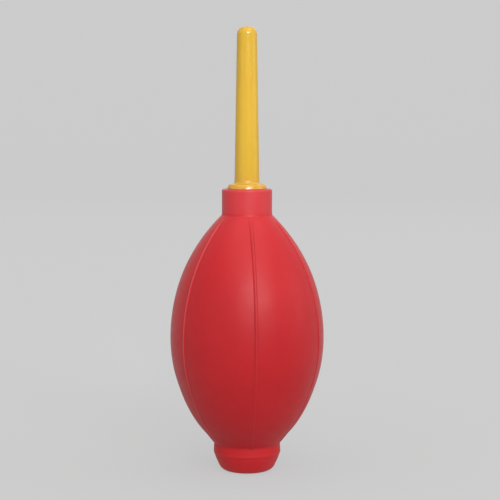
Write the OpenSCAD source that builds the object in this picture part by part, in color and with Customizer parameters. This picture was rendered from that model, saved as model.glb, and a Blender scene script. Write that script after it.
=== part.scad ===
// Hand-squeezed pipette filler bulb.
// A hollow rubber bulb stands on a round foot. Its neck grips a tapered plastic
// nozzle, and its foot holds a small floating-disc valve that lets air out when
// the bulb is squeezed with the nozzle pointing down.
// Millimetres, +Z up, origin at the centre of the foot's underside.

/* [Bulb] */
// Largest outside diameter of the rubber bulb
bulb_d = 60.3; // [56:0.1:64]
// Height of the widest section above the base
bulb_mid_h = 52.9; // [50:0.1:56]
// Rubber wall thickness
bulb_wall = 2.8; // [2.2:0.1:3.2]
// Diameter at which the upper half runs into the neck
shoulder_end_d = 20.4; // [19.8:0.1:22]

/* [Ribs] */
// Number of moulded ribs round the bulb
rib_count = 6; // [4:2:8]
// Width of a rib
rib_w = 1.3; // [1:0.1:2.4]
// Height of a rib above the bulb's skin
rib_h = 0.4; // [0.3:0.05:0.8]
// Length over which a rib fades out at each end
rib_fade = 4; // [2:0.5:8]

/* [Neck] */
// Height at which the neck starts
neck_start_h = 100.8; // [99.8:0.1:102]
// Height of the neck's top face
neck_top_h = 111.2; // [110:0.1:113]
// Outside diameter of the neck
neck_d = 19.7; // [18.4:0.1:20]
// Rounding of the neck's top edge
neck_edge = 0.7; // [0.3:0.1:1.2]
// Diameter of the socket that grips the nozzle
socket_d = 11; // [10:0.1:12]
// Depth of the socket below the neck's top face
socket_depth = 12.2; // [11.8:0.1:13]

/* [Foot] */
// Height of the foot
foot_h = 11; // [9.5:0.1:12]
// Largest outside diameter of the foot, at its lower corner
foot_d = 26.4; // [26.2:0.1:27]
// Diameter at the top of the foot, where the bulb runs into it
foot_top_d = 26.1; // [25:0.1:26.2]
// Height at which the foot's lower chamfer starts
foot_chamfer_h = 7.5; // [6:0.1:8]
// Diameter of the flat ring that the bulb stands on
foot_ring_d = 15.2; // [15:0.1:18.6]
// Rounding between the standing ring and the chamfer
foot_round = 3.8; // [1.6:0.1:4]
// Diameter of the hole that the valve is pressed into
foot_bore_d = 12; // [11.8:0.1:13]

/* [Nozzle] */
// Height of the nozzle's tip above the base
tip_h = 174.2; // [150:0.1:190]
// Outside diameter of the nozzle at its tip
tip_d = 7.8; // [6.8:0.1:9]
// Outside diameter of the nozzle above its flange
root_d = 9.8; // [9:0.1:10.4]
// Rounding of the tip
tip_round = 3.1; // [1:0.1:3.2]
// Diameter of the flange where it seats on the neck
flange_d = 15.4; // [14:0.1:16]
// Diameter of the flange's top face before its edge is rounded
flange_top_d = 14; // [13:0.1:15]
// Thickness of the flange
flange_t = 1.9; // [1.4:0.1:2.6]
// Rounding between the flange and the tube
root_round = 1.1; // [0.4:0.1:1.4]
// Diameter of the outlet
outlet_d = 3.5; // [2.5:0.1:4]
// Length over which the outlet is straight
outlet_land = 12; // [8:1:20]
// Radial clearance of the spigot in the rubber socket
spigot_gap = 0.05; // [0.02:0.01:0.1]
// Length of the spigot below the flange
spigot_len = 12; // [9:0.1:12]

/* [Valve] */
// Diameter of the floating disc
disc_d = 7.4; // [7:0.1:7.8]
// Thickness of the floating disc
disc_t = 1; // [0.8:0.1:1.2]
// Diameter of the air passage above the disc
passage_d = 3.8; // [3:0.1:4.4]
// Free travel of the disc
disc_travel = 1.3; // [0.8:0.1:1.6]
// Number of air holes in the cap
air_holes = 6; // [4:1:8]

/* [Hidden] */
fn_round = 120;
steps = 26;                       // straight steps in each half of the bulb's curve
eps = 0.01;

rmax = bulb_d / 2;
// Both halves are arcs whose centres lie level with the widest section.
function arc_radius(r_end, rise) = (rise * rise + (rmax - r_end) * (rmax - r_end)) / (2 * (rmax - r_end));
belly_r = arc_radius(foot_top_d / 2, bulb_mid_h - foot_h);
shoulder_r = arc_radius(shoulder_end_d / 2, neck_start_h - bulb_mid_h);
function arc_at(rad, z, inset) = rmax - rad + sqrt((rad - inset) * (rad - inset) - (z - bulb_mid_h) * (z - bulb_mid_h));
function skin(z, inset = 0) = z < bulb_mid_h ? arc_at(belly_r, z, inset) : arc_at(shoulder_r, z, inset);

// The cavity's floor and roof are flat where they meet the foot's hole and the socket.
floor_h = 11;
roof_h = neck_top_h - socket_depth;

// Foot: a rounding between the standing ring and the chamfer, then an almost straight band.
chamfer_top = [foot_d / 2, foot_chamfer_h];
round_c = [foot_ring_d / 2, foot_round];
to_top = chamfer_top - round_c;
// direction in which the chamfer leaves the rounding, tangent to it
chamfer_a = atan2(to_top[1], to_top[0]) - acos(foot_round / norm(to_top));
foot_pts = [for (i = [0:8]) let (a = -90 + (chamfer_a + 90) * i / 8)
    [round_c[0] + foot_round * cos(a), round_c[1] + foot_round * sin(a)]];

outer_pts = concat(
    foot_pts,
    [chamfer_top],
    [for (i = [0:steps]) let (z = foot_h + (bulb_mid_h - foot_h) * i / steps) [skin(z), z]],
    [for (i = [1:steps]) let (z = bulb_mid_h + (neck_start_h - bulb_mid_h) * i / steps) [skin(z), z]],
    [[neck_d / 2 + 0.05, neck_start_h + 0.5],
     [neck_d / 2, neck_top_h - neck_edge],
     for (i = [1:4]) let (a = 90 * i / 4)
        [neck_d / 2 - neck_edge + neck_edge * cos(a), neck_top_h - neck_edge + neck_edge * sin(a)]]);

inner_pts = concat(
    [[socket_d / 2, neck_top_h], [socket_d / 2, roof_h]],
    [for (i = [0:steps]) let (z = roof_h - (roof_h - bulb_mid_h) * i / steps) [skin(z, bulb_wall), z]],
    [for (i = [1:steps]) let (z = bulb_mid_h - (bulb_mid_h - floor_h) * i / steps) [skin(z, bulb_wall), z]],
    [[foot_bore_d / 2, floor_h], [foot_bore_d / 2, 0]]);

// Ribs: a thin shell that follows the skin, cut into narrow strips.
rib_lo = foot_h + 0.4;
rib_hi = neck_start_h - 0.2;
function rib_rise(z) = rib_h * min(1, (z - rib_lo) / rib_fade, (rib_hi - z) / rib_fade);
rib_z = [for (i = [0:2 * steps]) rib_lo + (rib_hi - rib_lo) * i / (2 * steps)];

module rib_shell() {
    rotate_extrude($fn = fn_round)
        polygon(concat(
            [for (z = rib_z) [skin(z) - 0.6, z]],
            [for (i = [len(rib_z) - 1:-1:0]) [skin(rib_z[i]) + max(0.02, rib_rise(rib_z[i])), rib_z[i]]]));
}

module bulb() {
    color([0.72, 0.17, 0.18])
    union() {
        rotate_extrude($fn = fn_round) polygon(concat(outer_pts, inner_pts));
        // one rib faces -Y, the others are spaced evenly round the axis
        for (k = [0:rib_count - 1])
            rotate([0, 0, -90 + 360 / rib_count * k])
                intersection() {
                    rib_shell();
                    translate([0, -rib_w / 2, rib_lo - 1]) cube([rmax + 5, rib_w, rib_hi - rib_lo + 2]);
                }
    }
}

// Nozzle outline, from the flange up over the rounded tip
spigot_r = socket_d / 2 - spigot_gap;
flange_top = neck_top_h + flange_t;
tube_pts = concat(
    [[flange_d / 2, neck_top_h], [flange_top_d / 2, flange_top - 0.4]],
    [for (i = [1:3]) let (a = 90 * i / 3) [flange_top_d / 2 - 0.4 + 0.4 * cos(a), flange_top - 0.4 + 0.4 * sin(a)]],
    [for (i = [0:4]) let (a = 90 * i / 4) [root_d / 2 + root_round - root_round * sin(a), flange_top + root_round - root_round * cos(a)]],
    [for (i = [0:8]) let (a = 90 * i / 8)
        [tip_d / 2 - tip_round + tip_round * cos(a), tip_h - tip_round + tip_round * sin(a)]]);

module nozzle() {
    color([0.93, 0.74, 0.24])
    difference() {
        union() {
            rotate_extrude($fn = fn_round)
                polygon(concat([[0, neck_top_h]], tube_pts, [[0, tip_h]]));
            // spigot with a lead-in chamfer
            translate([0, 0, neck_top_h - spigot_len + 1])
                cylinder(r = spigot_r, h = spigot_len - 1 + eps, $fn = fn_round);
            translate([0, 0, neck_top_h - spigot_len])
                cylinder(r1 = spigot_r - 0.8, r2 = spigot_r, h = 1, $fn = fn_round);
        }
        // straight outlet, then a bore that widens towards the bulb
        translate([0, 0, tip_h - outlet_land]) cylinder(d = outlet_d, h = outlet_land + 1, $fn = fn_round);
        translate([0, 0, neck_top_h - spigot_len - 1])
            cylinder(r1 = spigot_r - 1.6, r2 = outlet_d / 2, h = tip_h - outlet_land - neck_top_h + spigot_len + 1 + eps, $fn = fn_round);
    }
}

// Valve heights, from the cap's underside up
cap_lo = 1.2;
cap_t = 1.5;
stud_h = 0.5;
disc_lo = cap_lo + cap_t + stud_h;
lip_h = disc_lo + disc_t + disc_travel;
chamber_top = lip_h + 0.5;
chamber_d = 8.6;

module valve_body() {
    color([0.93, 0.74, 0.24])
    difference() {
        union() {
            translate([0, 0, cap_lo]) cylinder(d = foot_bore_d, h = floor_h - cap_lo + eps, $fn = fn_round);
            // collar that rests on the cavity's floor
            translate([0, 0, floor_h]) cylinder(d = foot_bore_d + 2.4, h = 1.2, $fn = fn_round);
        }
        difference() {
            translate([0, 0, cap_lo - 1]) cylinder(d = chamber_d, h = chamber_top - cap_lo + 1, $fn = fn_round);
            // seat lip that the disc closes against
            translate([0, 0, lip_h]) cylinder(d = passage_d + 1.6, h = 2, $fn = fn_round);
        }
        translate([0, 0, cap_lo]) cylinder(d = passage_d, h = floor_h + 5, $fn = fn_round);
    }
}

module valve_disc() {
    color([0.85, 0.85, 0.82])
    translate([0, 0, disc_lo]) cylinder(d = disc_d, h = disc_t, $fn = fn_round);
}

module valve_cap() {
    color([0.93, 0.74, 0.24])
    difference() {
        union() {
            translate([0, 0, cap_lo]) cylinder(d = chamber_d, h = cap_t, $fn = fn_round);
            // three studs keep the disc off the air holes
            for (k = [0:2]) rotate([0, 0, 30 + 120 * k])
                translate([1.4, 0, cap_lo]) cylinder(d = 1.1, h = cap_t + stud_h, $fn = 32);
        }
        for (k = [0:air_holes - 1]) rotate([0, 0, 360 / air_holes * k])
            translate([3, 0, cap_lo - 1]) cylinder(d = 1.4, h = cap_t + 2, $fn = 32);
    }
}

bulb();
nozzle();
valve_body();
valve_disc();
valve_cap();
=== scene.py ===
import math

import bmesh
import bpy
import numpy as np
from mathutils import Matrix, Vector


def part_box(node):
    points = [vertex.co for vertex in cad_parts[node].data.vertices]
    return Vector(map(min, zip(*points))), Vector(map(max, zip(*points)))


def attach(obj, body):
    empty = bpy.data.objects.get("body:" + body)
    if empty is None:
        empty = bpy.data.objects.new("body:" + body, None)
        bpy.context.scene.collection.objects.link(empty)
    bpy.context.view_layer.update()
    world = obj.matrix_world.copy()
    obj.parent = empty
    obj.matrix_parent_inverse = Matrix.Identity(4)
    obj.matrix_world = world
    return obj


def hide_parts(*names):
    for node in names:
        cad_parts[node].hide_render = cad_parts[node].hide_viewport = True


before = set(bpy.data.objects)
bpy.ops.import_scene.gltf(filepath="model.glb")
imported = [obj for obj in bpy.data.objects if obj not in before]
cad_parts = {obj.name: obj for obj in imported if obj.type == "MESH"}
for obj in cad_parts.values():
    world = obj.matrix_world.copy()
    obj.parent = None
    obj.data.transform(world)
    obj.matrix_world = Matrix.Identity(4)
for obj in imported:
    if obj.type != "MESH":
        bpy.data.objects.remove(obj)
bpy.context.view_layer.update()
MM = 0.001

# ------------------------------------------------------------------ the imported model's own sizes
nozzle_lo, nozzle_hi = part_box("nozzle")
bulb_lo, bulb_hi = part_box("bulb")
body_lo, body_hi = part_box("valve_body")
cap_lo, cap_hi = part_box("valve_cap")
disc_lo, disc_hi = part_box("valve_disc")
NECK_TOP = bulb_hi.z / MM
TIP = nozzle_hi.z / MM
SPIGOT_LO = nozzle_lo.z / MM
R_MAX = 30.15
MID_H = 52.9
FOOT_H = 11.0
NECK_H = 100.8
BORE_R = (body_hi.x - body_lo.x) / 2 / MM - 1.2
SOCKET_R = 5.5
WALL = 2.8


# ------------------------------------------------------------------ outline helpers (r, z in mm)
def arc_radius(r_end, rise):
    return (rise * rise + (R_MAX - r_end) ** 2) / (2 * (R_MAX - r_end))


BELLY = arc_radius(13.05, MID_H - FOOT_H)
SHOULDER = arc_radius(10.2, NECK_H - MID_H)


def skin(z, inset=0.0):
    rad = BELLY if z < MID_H else SHOULDER
    return R_MAX - rad + math.sqrt((rad - inset) ** 2 - (z - MID_H) ** 2)


def rubber(z):
    """The moulding's outside: the two arcs with the small hollows and swellings of soft rubber."""
    off = 0.0
    for at, width, depth in ((14.8, 2.6, -0.33), (33.0, 5.5, -0.16), (79.0, 10.0, 0.11)):
        off += depth * math.exp(-(((z - at) / width) ** 2))
    return skin(z) + off


def fillet(a, p, b, rad, n):
    """Points of a round of radius rad at corner p between a and b."""
    a, p, b = (np.array(v, float) for v in (a, p, b))
    u, v = (a - p) / np.linalg.norm(a - p), (b - p) / np.linalg.norm(b - p)
    half = math.acos(max(-1, min(1, float(u @ v)))) / 2
    cut = rad / math.tan(half)
    cut = min(cut, 0.95 * np.linalg.norm(a - p), 0.95 * np.linalg.norm(b - p))
    rad = cut * math.tan(half)
    mid = (u + v) / np.linalg.norm(u + v)
    c = p + mid * rad / math.sin(half)
    s, e = p + u * cut, p + v * cut
    a0 = math.atan2(s[1] - c[1], s[0] - c[0])
    a1 = math.atan2(e[1] - c[1], e[0] - c[0])
    while a1 - a0 > math.pi:
        a1 -= 2 * math.pi
    while a1 - a0 < -math.pi:
        a1 += 2 * math.pi
    return [(c[0] + rad * math.cos(a0 + (a1 - a0) * t / n), c[1] + rad * math.sin(a0 + (a1 - a0) * t / n)) for t in range(n + 1)]


def outline(corners, step=0.8):
    """corners: (r, z, round radius, arc points); straight runs between them are cut into steps."""
    pts = []
    m = len(corners)
    for i in range(m):
        r, z, rad, n = corners[i]
        if rad <= 0 or i in (0, m - 1):
            pts.append([(r, z)])
        else:
            pts.append(fillet(corners[i - 1][:2], (r, z), corners[i + 1][:2], rad, n))
    flat = []
    for i, group in enumerate(pts):
        if i:
            p, q = flat[-1], group[0]
            d = math.dist(p, q)
            k = int(d / step)
            flat += [(p[0] + (q[0] - p[0]) * t / (k + 1), p[1] + (q[1] - p[1]) * t / (k + 1)) for t in range(1, k + 1)]
        flat += group
    return flat


def smooth_normals(rz, closed):
    """Outward direction at each outline point; the outline runs with the solid on its left."""
    p = np.array(rz, float)
    if closed:
        d = np.roll(p, -1, 0) - np.roll(p, 1, 0)
    else:
        d = np.gradient(p, axis=0)
    d /= np.linalg.norm(d, axis=1)[:, None]
    return np.stack([d[:, 1], -d[:, 0]], 1)


def lathe(name, rz, angles_at, offset_at=None, masks=None, closed=True):
    """Turns a closed outline round the axis. angles_at(i) gives that ring's angles,
    offset_at(i, j, angle) how far a point stands out along the outline's own normal."""
    nrm = smooth_normals(rz, closed)
    rings, verts, values = [], [], {k: [] for k in (masks or {})}
    for i, (r, z) in enumerate(rz):
        ring = []
        for j, a in enumerate(angles_at(i)):
            off = offset_at(i, j, a) if offset_at else 0.0
            rr, zz = r + nrm[i][0] * off, z + nrm[i][1] * off
            ring.append(len(verts))
            verts.append((rr * math.cos(a) * MM, rr * math.sin(a) * MM, zz * MM))
            for k in values:
                values[k].append(masks[k](i, j, a))
        rings.append(ring)
    faces = []
    n = len(rings[0])
    rows = len(rings) if closed else len(rings) - 1
    for i in range(rows):
        lo, hi = rings[i], rings[(i + 1) % len(rings)]
        for j in range(n):
            k = (j + 1) % n
            faces.append((lo[j], lo[k], hi[k], hi[j]))
    me = bpy.data.meshes.new(name)
    me.from_pydata(verts, [], faces)
    for k, v in values.items():
        at = me.attributes.new(k, "FLOAT", "POINT")
        at.data.foreach_set("value", np.array(v, np.float32))
    me.validate()
    me.update()
    me.polygons.foreach_set("use_smooth", [True] * len(me.polygons))
    ob = bpy.data.objects.new(name, me)
    bpy.context.scene.collection.objects.link(ob)
    return ob


def even(n):
    ring = [2 * math.pi * j / n for j in range(n)]
    return lambda i: ring


# ------------------------------------------------------------------ camera, at the photograph's viewing angle
DIST = 600.0
TURN = math.radians(-6.8)
EQ_RISE = math.radians(8.3)
AIM_X, AIM_Y = 247.0, 337.0
PX_MM = 152.3 / 60.0
f0 = DIST * PX_MM
v = np.array([(AIM_X - 250) / f0, (AIM_Y - 250) / f0, 1.0])
pitch = EQ_RISE - math.atan2(v[1], 1.0)
yaw = math.atan2(v[0], 1.0)
eye = Vector((0, -DIST * math.cos(EQ_RISE), MID_H + DIST * math.sin(EQ_RISE)))
look = Vector((-math.sin(yaw) * math.cos(pitch), math.cos(yaw) * math.cos(pitch), -math.sin(pitch)))
depth = (Vector((0, 0, MID_H)) - eye).dot(look)
focal_px = depth * PX_MM
spin = Matrix.Rotation(TURN, 3, "Z")
cam_data = bpy.data.cameras.new("camera")
cam_data.sensor_width = 36.0
cam_data.lens = focal_px / 500.0 * 36.0
cam_data.clip_start = 0.01
cam_data.clip_end = 50
cam = bpy.data.objects.new("camera", cam_data)
bpy.context.scene.collection.objects.link(cam)
cam.location = (spin @ eye) * MM
cam.rotation_mode = "QUATERNION"
cam.rotation_quaternion = (spin @ look).to_track_quat("-Z", "Y")
bpy.context.scene.camera = cam


# ------------------------------------------------------------------ material helpers
def new_material(name):
    m = bpy.data.materials.new(name)
    m.use_nodes = True
    nt = m.node_tree
    nt.nodes.clear()
    out = nt.nodes.new("ShaderNodeOutputMaterial")
    bsdf = nt.nodes.new("ShaderNodeBsdfPrincipled")
    nt.links.new(bsdf.outputs["BSDF"], out.inputs["Surface"])
    return m, nt, bsdf


def noise(nt, coord, scale, detail=3.0, rough=0.5, stretch=None):
    src = coord
    if stretch:
        mp = nt.nodes.new("ShaderNodeMapping")
        mp.inputs["Scale"].default_value = stretch
        nt.links.new(coord, mp.inputs["Vector"])
        src = mp.outputs["Vector"]
    n = nt.nodes.new("ShaderNodeTexNoise")
    n.inputs["Scale"].default_value = scale
    n.inputs["Detail"].default_value = detail
    n.inputs["Roughness"].default_value = rough
    nt.links.new(src, n.inputs["Vector"])
    return n.outputs["Fac"]


def remap(nt, value, lo, hi, to_lo, to_hi):
    n = nt.nodes.new("ShaderNodeMapRange")
    n.inputs["From Min"].default_value = lo
    n.inputs["From Max"].default_value = hi
    n.inputs["To Min"].default_value = to_lo
    n.inputs["To Max"].default_value = to_hi
    nt.links.new(value, n.inputs["Value"])
    return n.outputs["Result"]


def mix_color(nt, fac, a, b):
    n = nt.nodes.new("ShaderNodeMix")
    n.data_type = "RGBA"
    for sock, val in ((n.inputs[6], a), (n.inputs[7], b)):
        if isinstance(val, tuple):
            sock.default_value = (*val, 1.0)
        else:
            nt.links.new(val, sock)
    nt.links.new(fac, n.inputs[0])
    return n.outputs[2]


def math_node(nt, op, a, b):
    n = nt.nodes.new("ShaderNodeMath")
    n.operation = op
    for sock, val in ((n.inputs[0], a), (n.inputs[1], b)):
        if isinstance(val, (int, float)):
            sock.default_value = val
        else:
            nt.links.new(val, sock)
    return n.outputs[0]


def bump(nt, bsdf, layers):
    """layers: (height socket, strength, distance in metres), stacked."""
    last = None
    for h, strength, dist in layers:
        b = nt.nodes.new("ShaderNodeBump")
        b.inputs["Strength"].default_value = strength
        b.inputs["Distance"].default_value = dist
        nt.links.new(h, b.inputs["Height"])
        if last:
            nt.links.new(last, b.inputs["Normal"])
        last = b.outputs["Normal"]
    nt.links.new(last, bsdf.inputs["Normal"])


def attribute(nt, name):
    n = nt.nodes.new("ShaderNodeAttribute")
    n.attribute_name = name
    return n.outputs["Fac"]


# ------------------------------------------------------------------ materials
def red_rubber():
    m, nt, bsdf = new_material("red_rubber")
    tc = nt.nodes.new("ShaderNodeTexCoord").outputs["Object"]
    # slow mottling of the compound, then a fine moulded grain
    slow = noise(nt, tc, 45.0, 2.0, 0.5)
    mid = noise(nt, tc, 260.0, 3.0, 0.55)
    grain = noise(nt, tc, 1900.0, 3.0, 0.6)
    speck = noise(nt, tc, 5200.0, 2.0, 0.6)
    base = mix_color(nt, remap(nt, slow, 0.35, 0.65, 0.0, 1.0), (0.365, 0.0062, 0.0098), (0.385, 0.0078, 0.0114))
    base = mix_color(nt, remap(nt, mid, 0.40, 0.62, 0.0, 0.30), base, (0.350, 0.0050, 0.0085))
    # pale rib crests and rounded edges, partly rubbed wear and partly a painted highlight; painted shade in the thin
    # lines beside the ribs and at the front rib's end in the foot crease
    crest_wear_and_highlight = attribute(nt, "crest_wear_and_highlight")
    crease = attribute(nt, "crease")
    foot = attribute(nt, "foot")
    neck = attribute(nt, "neck")
    base = mix_color(nt, math_node(nt, "MULTIPLY", foot, 0.5), base, (0.45, 0.0075, 0.0105))
    # painted sheen: the neck is mixed towards a paler, pinker red
    base = mix_color(nt, math_node(nt, "MULTIPLY", neck, remap(nt, mid, 0.3, 0.7, 0.85, 1.0)), base, (0.415, 0.027, 0.032))
    base = mix_color(nt, math_node(nt, "MULTIPLY", crest_wear_and_highlight, 0.60), base, (0.57, 0.085, 0.095))
    # painted shade beside the ribs and in the foot crease
    base = mix_color(nt, math_node(nt, "MULTIPLY", crease, 0.50), base, (0.18, 0.003, 0.005))
    nt.links.new(base, bsdf.inputs["Base Color"])
    rough = remap(nt, mid, 0.3, 0.7, 0.41, 0.49)
    rough = math_node(nt, "SUBTRACT", rough, math_node(nt, "MULTIPLY", crest_wear_and_highlight, 0.06))
    # duller towards the foot, where the bulb isn't rubbed by the hand
    height = nt.nodes.new("ShaderNodeSeparateXYZ")
    nt.links.new(tc, height.inputs[0])
    rough = math_node(nt, "ADD", rough, remap(nt, height.outputs["Z"], 0.015, 0.045, 0.14, 0.0))
    nt.links.new(rough, bsdf.inputs["Roughness"])
    bsdf.inputs["IOR"].default_value = 1.5
    bsdf.inputs["Specular IOR Level"].default_value = 0.25
    bsdf.inputs["Sheen Weight"].default_value = 0.055
    bsdf.inputs["Sheen Roughness"].default_value = 0.45
    bsdf.inputs["Sheen Tint"].default_value = (0.95, 0.70, 0.70, 1.0)
    bump(nt, bsdf, [(slow, 0.10, 0.0008), (grain, 0.12, 0.00005), (speck, 0.10, 0.00002)])
    return m


def yellow_plastic(name, tint=1.0):
    m, nt, bsdf = new_material(name)
    tc = nt.nodes.new("ShaderNodeTexCoord").outputs["Object"]
    slow = noise(nt, tc, 60.0, 2.0, 0.5)
    flow = noise(nt, tc, 420.0, 2.0, 0.5, stretch=(1.0, 1.0, 0.06))
    grain = noise(nt, tc, 2600.0, 2.0, 0.5)
    base = mix_color(nt, remap(nt, slow, 0.35, 0.65, 0.0, 1.0), (0.436 * tint, 0.265 * tint, 0.0150), (0.454 * tint, 0.280 * tint, 0.0175))
    base = mix_color(nt, remap(nt, flow, 0.40, 0.70, 0.0, 0.20), base, (0.420 * tint, 0.250 * tint, 0.0130))
    # painted highlight: the flange's rounded edge and the rounded tip are painted lighter
    edge = attribute(nt, "crest_wear_and_highlight")
    red_bounce_reflection = attribute(nt, "red_bounce_reflection")
    base = mix_color(nt, math_node(nt, "MULTIPLY", edge, 0.20), base, (0.46 * tint, 0.30 * tint, 0.04))
    # painted reflection of the red rubber on the flange
    base = mix_color(nt, math_node(nt, "MULTIPLY", red_bounce_reflection, remap(nt, slow, 0.3, 0.7, 0.7, 1.0)), base, (0.42 * tint, 0.19 * tint, 0.036))
    nt.links.new(base, bsdf.inputs["Base Color"])
    rough = remap(nt, flow, 0.3, 0.7, 0.20, 0.26)
    rough = math_node(nt, "SUBTRACT", rough, math_node(nt, "MULTIPLY", attribute(nt, "polish"), 0.07))
    nt.links.new(rough, bsdf.inputs["Roughness"])
    bsdf.inputs["IOR"].default_value = 1.49
    bsdf.inputs["Specular IOR Level"].default_value = 0.42
    bsdf.inputs["Subsurface Weight"].default_value = 0.30
    bsdf.inputs["Subsurface Radius"].default_value = (0.0034, 0.0013, 0.0006)
    bsdf.inputs["Subsurface Scale"].default_value = 1.0
    bump(nt, bsdf, [(flow, 0.05, 0.00002), (grain, 0.05, 0.000006)])
    return m


def disc_silicone():
    m, nt, bsdf = new_material("disc_silicone")
    tc = nt.nodes.new("ShaderNodeTexCoord").outputs["Object"]
    slow = noise(nt, tc, 300.0, 2.0, 0.5)
    grain = noise(nt, tc, 3000.0, 2.0, 0.5)
    nt.links.new(mix_color(nt, remap(nt, slow, 0.35, 0.65, 0.0, 1.0), (0.66, 0.64, 0.58), (0.74, 0.72, 0.66)), bsdf.inputs["Base Color"])
    nt.links.new(remap(nt, slow, 0.3, 0.7, 0.42, 0.55), bsdf.inputs["Roughness"])
    bsdf.inputs["Subsurface Weight"].default_value = 0.25
    bsdf.inputs["Subsurface Radius"].default_value = (0.002, 0.002, 0.0018)
    bsdf.inputs["Subsurface Scale"].default_value = 1.0
    bump(nt, bsdf, [(slow, 0.1, 0.0001), (grain, 0.1, 0.00001)])
    return m


RED = red_rubber()
YELLOW = yellow_plastic("yellow_plastic")
VALVE_YELLOW = yellow_plastic("valve_plastic", 0.97)
SILICONE = disc_silicone()

# ------------------------------------------------------------------ the rubber bulb
RIBS = 6
RIB_HALF = 0.71      # half width of a rib's foot, mm
RIB_RISE = 0.40
side = [0.09, 0.19, 0.29, 0.38, 0.46, 0.54, 0.61, 0.67, 0.73, 0.80, 0.93, 1.2]
rib_s = [-s for s in reversed(side)] + [0.0] + side
GAP = 22


def build_bulb():
    foot_ring, foot_round = 7.6, 3.8
    top = np.array([13.2, 7.5])
    c = np.array([foot_ring, foot_round])
    d = top - c
    a_end = math.atan2(d[1], d[0]) - math.acos(foot_round / np.linalg.norm(d))
    pts, kind = [], []

    def add(group, k):
        for p in group:
            if not pts or math.dist(p, pts[-1]) > 0.02:
                pts.append((float(p[0]), float(p[1])))
                kind.append(k)

    # underside, from the valve's hole outwards
    add([(BORE_R, 0.35), (BORE_R + 0.08, 0.12), (BORE_R + 0.3, 0.0), (BORE_R + 0.9, 0.0)], "foot")
    add([(c[0] + foot_round * math.cos(a), c[1] + foot_round * math.sin(a)) for a in np.linspace(-math.pi / 2, a_end, 14)], "foot")
    low = pts[-1]
    corner = fillet(low, tuple(top), (13.05, FOOT_H), 0.45, 6)
    # the chamfer, with a hairline mould line just under its upper corner
    run = np.array(corner[0]) - np.array(low)
    length = float(np.linalg.norm(run))
    run /= length
    out = np.array([run[1], -run[0]])
    line = length - 1.35

    def swell(t):
        return 0.12 * math.sin(math.pi * t / length)

    for t in np.linspace(0, line - 0.35, 9)[1:]:
        add([tuple(np.array(low) + run * t + out * swell(t))], "foot")
    for dt, dip in ((-0.22, 0.0), (-0.13, 0.04), (-0.05, 0.09), (0.05, 0.09), (0.13, 0.04), (0.22, 0.0)):
        add([tuple(np.array(low) + run * (line + dt) + out * (swell(line + dt) - dip))], "foot")
    for t in np.linspace(line + 0.4, length - 0.15, 3):
        add([tuple(np.array(low) + run * t + out * swell(t))], "foot")
    add(corner, "edge")
    crease = fillet((13.13, 9.2), (13.05, FOOT_H), (rubber(FOOT_H + 1.2), FOOT_H + 1.2), 0.9, 7)
    for t in np.linspace(0, 1, 6)[1:-1]:
        add([(corner[-1][0] + (crease[0][0] - corner[-1][0]) * t, corner[-1][1] + (crease[0][1] - corner[-1][1]) * t)], "foot")
    add(crease, "crease")
    neck_fillet = fillet((rubber(NECK_H - 2.0), NECK_H - 2.0), (9.9, NECK_H + 0.3), (9.82, NECK_H + 4), 1.0, 8)
    z0, z1 = crease[-1][1], neck_fillet[0][1]
    for z in [z0 + 0.2, z0 + 0.4, z0 + 0.65]:
        add([(rubber(z), z)], "body")
    for z in np.linspace(z0 + 0.9, z1 - 0.9, 118):
        add([(rubber(z), z)], "body")
    for z in [z1 - 0.6, z1 - 0.3]:
        add([(rubber(z), z)], "body")
    add(neck_fillet, "neckfillet")
    for z in np.linspace(neck_fillet[-1][1] + 0.5, NECK_TOP - 0.75, 12):
        sag = 0.045 * math.sin(math.pi * (z - NECK_H) / (NECK_TOP - NECK_H))
        add([(9.86 - sag, z)], "neck")
    e = 0.75
    add([(9.86 - e + e * math.cos(a), NECK_TOP - e + e * math.sin(a)) for a in np.linspace(0, math.pi / 2, 8)], "lip")
    for r in np.linspace(8.6, SOCKET_R + 0.45, 6):
        add([(r, NECK_TOP)], "neck")
    e = 0.3
    add([(SOCKET_R + e - e * math.sin(a), NECK_TOP - e + e * math.cos(a)) for a in np.linspace(0, math.pi / 2, 4)], "socket")
    roof = NECK_TOP - 12.2
    for z in np.linspace(NECK_TOP - 1.2, roof + 0.3, 9):
        add([(SOCKET_R, z)], "socket")
    add([(SOCKET_R + 0.1, roof + 0.08), (SOCKET_R + 0.35, roof)], "inside")
    add([(skin(roof, WALL), roof)], "inside")
    for z in np.linspace(roof - 1.0, 12.0, 44):
        add([(skin(z, WALL), z)], "inside")
    floor = 11.0
    add([(skin(floor, WALL), floor), (BORE_R + 1.5, floor), (BORE_R + 0.15, floor), (BORE_R, floor - 0.2)], "inside")
    for z in np.linspace(9.5, 1.2, 6):
        add([(BORE_R, z)], "inside")

    def angles_at(i):
        r = max(pts[i][0], 8.3)
        out = []
        for k in range(RIBS):
            mid = math.radians(-90 + 60 * k)
            nxt = mid + math.radians(60)
            out += [mid + s / r for s in rib_s]
            lo, hi = mid + rib_s[-1] / r, nxt + rib_s[0] / r
            out += [lo + (hi - lo) * t / (GAP + 1) for t in range(1, GAP + 1)]
        return out

    span = len(rib_s) + GAP

    # how much of its height each rib keeps towards the foot; the front one, k = 0, is the flattest
    KEEP = (0.30, 0.40, 0.45, 0.50, 0.45, 0.38)
    RIB_LINE_SHADE = (1.0, 0.35, 0.7, 0.8, 0.7, 0.6)   # how dark the painted shade line beside each rib is

    def rib_at(z, j):
        lo, hi = FOOT_H + 0.15, NECK_H + 0.1
        if z <= lo or z >= hi:
            return 0.0
        a = min(1.0, (z - lo) / 1.6)
        b = min(1.0, (hi - z) / 5.0)
        low = min(1.0, max(0.0, (z - 28.0) / 30.0))
        a, b, low = (t * t * (3 - 2 * t) for t in (a, b, low))
        keep = KEEP[(j // span) % RIBS]
        return RIB_RISE * a * b * (keep + (1 - keep) * low)

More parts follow.
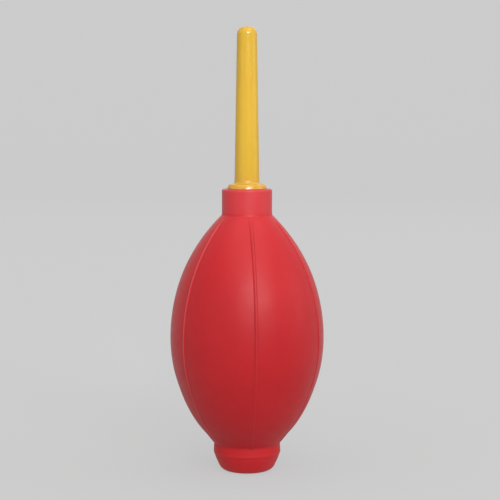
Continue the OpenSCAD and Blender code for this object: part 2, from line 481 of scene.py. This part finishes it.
    def shape(i, j):
        if kind[i] not in ("body", "neckfillet", "crease"):
            return 0.0
        j = j % span
        if j >= len(rib_s):
            return 0.0
        s = abs(rib_s[j]) / RIB_HALF
        if s >= 1:
            return 0.0
        return (0.5 + 0.5 * math.cos(math.pi * s)) ** 0.7

    def offset_at(i, j, a):
        return rib_at(pts[i][1], j) * shape(i, j)

    # painted highlight on the rib crests, strongest on the rib to the left of the front one, on top of some rubbed wear
    RIB_CREST_HIGHLIGHT = (0.15, 0.30, 0.40, 0.40, 0.40, 1.0)

    def crest_wear_and_highlight(i, j, a):
        if kind[i] in ("edge", "lip"):
            return 0.1
        amp = rib_at(pts[i][1], j) / RIB_RISE
        return max(0.0, (shape(i, j) - 0.55) / 0.45) * amp * RIB_CREST_HIGHLIGHT[(j // span) % RIBS]

    # painted shade: dark lines in the hollows at each rib's foot, darker on its left side, and a dark spot where the
    # front rib ends in the foot crease
    def painted_crease_shade(i, j, a):
        if kind[i] == "crease":
            jj = j % span
            end = j < span and jj < len(rib_s) and abs(rib_s[jj]) < 0.6
            return 0.9 if end else 0.0
        if kind[i] != "body":
            return 0.0
        jj = j % span
        if jj >= len(rib_s):
            return 0.0
        s = abs(rib_s[jj])
        amp = rib_at(pts[i][1], j) / RIB_RISE
        return amp * math.exp(-(((s - 0.67) / 0.11) ** 2)) * (1.0 if rib_s[jj] < 0 else 0.75) * RIB_LINE_SHADE[(j // span) % RIBS]

    def foot_mask(i, j, a):
        return 1.0 if kind[i] in ("foot", "edge") else 0.0

    # painted sheen: the neck is painted paler and pinker, fading out over the shoulder
    def neck_painted_sheen(i, j, a):
        if kind[i] in ("neck", "lip"):
            return min(1.0, 0.3 + (pts[i][1] - NECK_H) / 3)
        if kind[i] not in ("body", "neckfillet") or pts[i][1] < 82:
            return 0.0
        return 0.3 * (pts[i][1] - 82) / (NECK_H - 82)

    masks = {"crest_wear_and_highlight": crest_wear_and_highlight, "crease": painted_crease_shade, "foot": foot_mask, "neck": neck_painted_sheen}
    ob = lathe("bulb_rubber", pts, angles_at, offset_at, masks)
    ob.data.materials.append(RED)
    return ob


bulb = build_bulb()
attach(bulb, "bulb_body")
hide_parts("bulb")


# ------------------------------------------------------------------ the yellow nozzle
def build_nozzle():
    flange_lo, flange_top = NECK_TOP, NECK_TOP + 1.9
    tip = 174.2
    tr = 3.1
    r_tip, r_root = 3.9, 4.9
    pts, marks = [], []

    def add(group, k):
        for p in group:
            if not pts or math.dist(p, pts[-1]) > 0.015:
                pts.append((float(p[0]), float(p[1])))
                marks.append(k)

    sp = (nozzle_spigot_r)
    bore_lo = sp - 1.6
    bore_at = lambda z: bore_lo + (1.75 - bore_lo) * (z - (SPIGOT_LO - 1)) / ((tip - 12) - (SPIGOT_LO - 1))
    # spigot's end face, outwards
    add([(bore_at(SPIGOT_LO) + 0.15, SPIGOT_LO), (sp - 1.0, SPIGOT_LO)], "end")
    add(fillet((sp - 1.4, SPIGOT_LO), (sp - 0.8, SPIGOT_LO), (sp, SPIGOT_LO + 1.0), 0.2, 3), "end")
    add([(sp, SPIGOT_LO + 1.0)], "spigot")
    # two shallow grip grooves
    for g in (SPIGOT_LO + 4.0, SPIGOT_LO + 7.5):
        add([(sp, g - 0.7), (sp - 0.12, g - 0.5), (sp - 0.3, g - 0.2), (sp - 0.3, g + 0.2), (sp - 0.12, g + 0.5), (sp, g + 0.7)], "spigot")
    add([(sp, flange_lo - 0.5)], "spigot")
    add(fillet((sp, flange_lo - 0.5), (sp, flange_lo), (sp + 0.6, flange_lo), 0.12, 2), "spigot")
    low = (7.8, flange_lo)
    hi = (7.12, flange_top)
    add(fillet((6.4, flange_lo), low, hi, 0.22, 4), "edge")
    add(fillet(low, hi, (5.2, flange_top + 0.02), 0.60, 8), "edge")
    root = (r_root, flange_top)
    tube_hi = (r_tip, tip - tr)
    f = fillet((6.6, flange_top), root, tube_hi, 1.45, 9)
    add(f, "root")
    for t in np.linspace(0, 1, 46)[1:-1]:
        p = f[-1]
        add([(p[0] + (tube_hi[0] - p[0]) * t, p[1] + (tube_hi[1] - p[1]) * t)], "tube")
    cut = math.acos((1.75 + 0.18 - (r_tip - tr)) / tr)
    add([(r_tip - tr + tr * math.cos(a), tip - tr + tr * math.sin(a)) for a in np.linspace(0, cut, 16)], "tip")
    last = pts[-1]
    add([(1.82, last[1] - 0.05), (1.75, last[1] - 0.22)], "bore")
    for z in np.linspace(tip - 1.5, tip - 12, 6):
        add([(1.75, z)], "bore")
    for z in np.linspace(tip - 16, SPIGOT_LO + 0.6, 18):
        add([(bore_at(z), z)], "bore")
    add([(bore_at(SPIGOT_LO + 0.15), SPIGOT_LO + 0.15)], "bore")

    # painted highlight on the flange edge and the tip
    def crest_wear_and_highlight(i, j, a):
        return {"edge": 0.3, "tip": 0.15}.get(marks[i], 0.0)

    # painted reflection of the red rubber: strongest at the flange's lower edge, fading up the flange and the tube's
    # foot
    def red_bounce_reflection(i, j, a):
        z = pts[i][1]
        if marks[i] in ("edge", "root"):
            return 0.9 - 0.5 * min(1.0, (z - flange_lo) / 1.4)
        return 0.4 * max(0.0, 1 - (z - flange_top) / 5.0) if marks[i] == "tube" else 0.0

    # the rounded tip has the best polish
    def polish(i, j, a):
        return min(1.0, max(0.0, (pts[i][1] - tip + 9.0) / 6.0)) if marks[i] in ("tube", "tip") else 0.0

    ob = lathe("nozzle_moulding", pts, even(112), None, {"crest_wear_and_highlight": crest_wear_and_highlight, "red_bounce_reflection": red_bounce_reflection, "polish": polish})
    ob.data.materials.append(YELLOW)
    return ob


nozzle_spigot_r = 5.45
nozzle = build_nozzle()
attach(nozzle, "nozzle_body")
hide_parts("nozzle")


# ------------------------------------------------------------------ the outlet valve in the foot
def build_valve_body():
    lo, top = body_lo.z / MM, body_hi.z / MM
    col = (body_hi.x - body_lo.x) / 2 / MM
    r = BORE_R
    pts = []
    for g in (
        [(4.3, lo + 0.25), (4.4, lo + 0.06), (4.55, lo)],
        fillet((4.8, lo), (r, lo), (r, lo + 2), 0.35, 5),
        [(r, z) for z in np.linspace(lo + 1.2, 10.6, 6)],
        [(r, 10.95), (r + 0.1, 11.0)],
        fillet((r + 0.5, 11.0), (col, 11.0), (col, top), 0.2, 3),
        fillet((col, 11.3), (col, top), (5.0, top), 0.35, 5),
        [(4.6, top), (3.2, top)],
        fillet((2.8, top), (1.9, top), (1.9, 9.0), 0.4, 5),
        [(1.9, z) for z in np.linspace(10.6, 6.2, 5)],
        fillet((1.9, 6.0), (1.9, 5.53), (2.7, 5.53), 0.12, 3),
        fillet((1.9, 5.53), (2.7, 5.53), (2.7, 6.0), 0.12, 3),
        [(2.7, 5.9), (2.85, 6.0), (3.5, 6.0), (4.1, 6.0), (4.3, 5.8)],
        [(4.3, z) for z in np.linspace(5.2, lo + 0.7, 5)],
    ):
        for p in g:
            if not pts or math.dist(p, pts[-1]) > 0.015:
                pts.append((float(p[0]), float(p[1])))
    ob = lathe("valve_body_moulding", pts, even(96), None, {"crest_wear_and_highlight": lambda i, j, a: 0.0})
    ob.data.materials.append(VALVE_YELLOW)
    return ob


valve_body = build_valve_body()
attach(valve_body, "bulb_body")
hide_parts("valve_body")


def build_disc():
    lo, hi = disc_lo.z / MM, disc_hi.z / MM
    r = (disc_hi.x - disc_lo.x) / 2 / MM
    pts = [(0.25, lo), (1.2, lo), (2.6, lo)]
    pts += fillet((2.8, lo), (r, lo), (r, hi), 0.25, 4) + fillet((r, lo), (r, hi), (2.8, hi), 0.25, 4)
    pts += [(2.6, hi), (1.2, hi), (0.25, hi)]
    ob = lathe("valve_disc_silicone", pts, even(72), closed=False)
    bm = bmesh.new()
    bm.from_mesh(ob.data)
    edges = [e for e in bm.edges if e.is_boundary]
    bmesh.ops.holes_fill(bm, edges=edges, sides=0)
    bmesh.ops.recalc_face_normals(bm, faces=bm.faces)
    for f in bm.faces:
        f.smooth = True
    bm.to_mesh(ob.data)
    bm.free()
    ob.data.materials.append(SILICONE)
    return ob


disc = build_disc()
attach(disc, "disc_body")
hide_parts("valve_disc")


def cut_cylinder(r, z0, z1, x, y, n=36):
    me = bpy.data.meshes.new("cutter")
    bm = bmesh.new()
    bmesh.ops.create_cone(bm, cap_ends=True, segments=n, radius1=r * MM, radius2=r * MM, depth=(z1 - z0) * MM,
                          matrix=Matrix.Translation((x * MM, y * MM, (z0 + z1) / 2 * MM)))
    bm.to_mesh(me)
    bm.free()
    ob = bpy.data.objects.new("cutter", me)
    bpy.context.scene.collection.objects.link(ob)
    return ob


def apply_modifiers(ob):
    dg = bpy.context.evaluated_depsgraph_get()
    me = bpy.data.meshes.new_from_object(ob.evaluated_get(dg))
    ob.modifiers.clear()
    ob.data = me


def build_cap():
    lo, hi = cap_lo.z / MM, cap_hi.z / MM
    flat = hi - 0.5
    ob = cut_cylinder(4.3, lo, flat, 0, 0, 96)
    ob.name = "valve_cap_moulding"
    for k in range(3):
        a = math.radians(30 + 120 * k)
        stud = cut_cylinder(0.55, flat - 0.3, hi, 1.4 * math.cos(a), 1.4 * math.sin(a), 24)
        md = ob.modifiers.new("stud", "BOOLEAN")
        md.operation, md.solver, md.object = "UNION", "EXACT", stud
        apply_modifiers(ob)
        bpy.data.objects.remove(stud)
    for k in range(6):
        a = math.radians(60 * k)
        hole = cut_cylinder(0.7, lo - 1, flat + 1, 3.0 * math.cos(a), 3.0 * math.sin(a), 32)
        md = ob.modifiers.new("hole", "BOOLEAN")
        md.operation, md.solver, md.object = "DIFFERENCE", "EXACT", hole
        apply_modifiers(ob)
        bpy.data.objects.remove(hole)
    md = ob.modifiers.new("edges", "BEVEL")
    md.width, md.segments, md.limit_method, md.angle_limit = 0.00012, 3, "ANGLE", math.radians(40)
    apply_modifiers(ob)
    me = ob.data
    me.polygons.foreach_set("use_smooth", [True] * len(me.polygons))
    me.set_sharp_from_angle(angle=math.radians(40))
    at = me.attributes.new("crest_wear_and_highlight", "FLOAT", "POINT")
    at.data.foreach_set("value", np.zeros(len(me.vertices), np.float32))
    me.materials.clear()
    me.materials.append(VALVE_YELLOW)
    return ob


cap = build_cap()
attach(cap, "bulb_body")
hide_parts("valve_cap")


# ------------------------------------------------------------------ pale floor with a wall all round
NEAR_GLOW, FAR_GLOW = 0.480, 0.068


def build_stage():
    prof = [(0.0001, 0.0)] + [(r, 0.0) for r in (0.05, 0.1, 0.2, 0.4, 0.8, 1.4, 2.0)]
    prof += [(2.0 + 1.0 * math.sin(a), 1.0 - 1.0 * math.cos(a)) for a in np.linspace(0, math.pi / 2, 25)[1:]]
    prof += [(3.0, 1.6), (3.0, 2.4), (3.0, 3.4)]
    n = 96
    verts = [(r * math.cos(2 * math.pi * j / n), r * math.sin(2 * math.pi * j / n), z - 0.0001) for r, z in prof for j in range(n)]
    faces = [(i * n + j, i * n + (j + 1) % n, (i + 1) * n + (j + 1) % n, (i + 1) * n + j) for i in range(len(prof) - 1) for j in range(n)]
    me = bpy.data.meshes.new("studio_floor")
    me.from_pydata(verts, [], faces)
    me.update()
    me.polygons.foreach_set("use_smooth", [True] * len(me.polygons))
    ob = bpy.data.objects.new("studio_floor", me)
    bpy.context.scene.collection.objects.link(ob)
    m, nt, bsdf = new_material("studio_paper")
    tc = nt.nodes.new("ShaderNodeTexCoord").outputs["Object"]
    fibre = noise(nt, tc, 900.0, 3.0, 0.6)
    nt.links.new(mix_color(nt, fibre, (0.088, 0.088, 0.088), (0.094, 0.094, 0.094)), bsdf.inputs["Base Color"])
    bsdf.inputs["Roughness"].default_value = 1.0
    bsdf.inputs["Specular IOR Level"].default_value = 0.0
    bsdf.inputs["Emission Color"].default_value = (1.0, 1.0, 1.0, 1.0)
    # the paper glows a little more with distance, so that it reads as one even grey
    rad = nt.nodes.new("ShaderNodeVectorMath")
    rad.operation = "LENGTH"
    nt.links.new(tc, rad.inputs[0])
    far = math_node(nt, "DIVIDE", rad.outputs["Value"], math_node(nt, "ADD", rad.outputs["Value"], 0.55))
    nt.links.new(math_node(nt, "ADD", math_node(nt, "MULTIPLY", far, FAR_GLOW), NEAR_GLOW), bsdf.inputs["Emission Strength"])
    me.materials.append(m)


build_stage()


# ------------------------------------------------------------------ soft studio light
def area(name, az, el, dist, w, h, power, aim=(0, 0, 0.08)):
    """az is to the right of the camera's own direction, seen from the camera."""
    a = math.radians(-90 + az) + TURN
    e = math.radians(el)
    pos = Vector((math.cos(a) * math.cos(e), math.sin(a) * math.cos(e), math.sin(e))) * dist + Vector(aim)
    data = bpy.data.lights.new(name, "AREA")
    data.shape = "RECTANGLE"
    data.size, data.size_y = w, h
    data.energy = power
    ob = bpy.data.objects.new(name, data)
    ob.location = pos
    ob.rotation_mode = "QUATERNION"
    ob.rotation_quaternion = (Vector(aim) - pos).to_track_quat("-Z", "Y")
    bpy.context.scene.collection.objects.link(ob)
    return ob


area("key_softbox", 15, 25, 1.3, 0.86, 0.46, 12.3)
area("top_softbox", 10, 74, 1.5, 2.0, 1.8, 14.8)
area("fill_softbox", -48, 15, 1.6, 0.9, 1.2, 2.0)
area("side_softbox", 84, 18, 1.5, 0.8, 1.0, 3.6)
area("back_softbox", 172, 36, 1.7, 2.4, 1.6, 4.2)


def spot(name, az, el, dist, cone, radius, power, aim):
    a = math.radians(-90 + az) + TURN
    e = math.radians(el)
    pos = Vector((math.cos(a) * math.cos(e), math.sin(a) * math.cos(e), math.sin(e))) * dist + Vector(aim)
    data = bpy.data.lights.new(name, "SPOT")
    data.spot_size = math.radians(cone)
    data.spot_blend = 1.0
    data.shadow_soft_size = radius
    data.energy = power
    ob = bpy.data.objects.new(name, data)
    ob.location = pos
    ob.rotation_mode = "QUATERNION"
    ob.rotation_quaternion = (Vector(aim) - pos).to_track_quat("-Z", "Y")
    bpy.context.scene.collection.objects.link(ob)


# a narrow soft lamp that lifts the neck and the nozzle a little
spot("nozzle_lamp", 9, 24, 0.9, 9.2, 0.035, 17.0, (0, 0, 0.141))

world = bpy.data.worlds.new("studio")
world.use_nodes = True
bg = world.node_tree.nodes["Background"]
bg.inputs["Color"].default_value = (1.0, 1.0, 1.0, 1.0)
bg.inputs["Strength"].default_value = 0.44
bpy.context.scene.world = world
bpy.context.scene.view_settings.view_transform = "Standard"
bpy.context.scene.view_settings.look = "None"
bpy.context.scene.view_settings.exposure = 0.0
bpy.context.scene.view_settings.gamma = 1.0
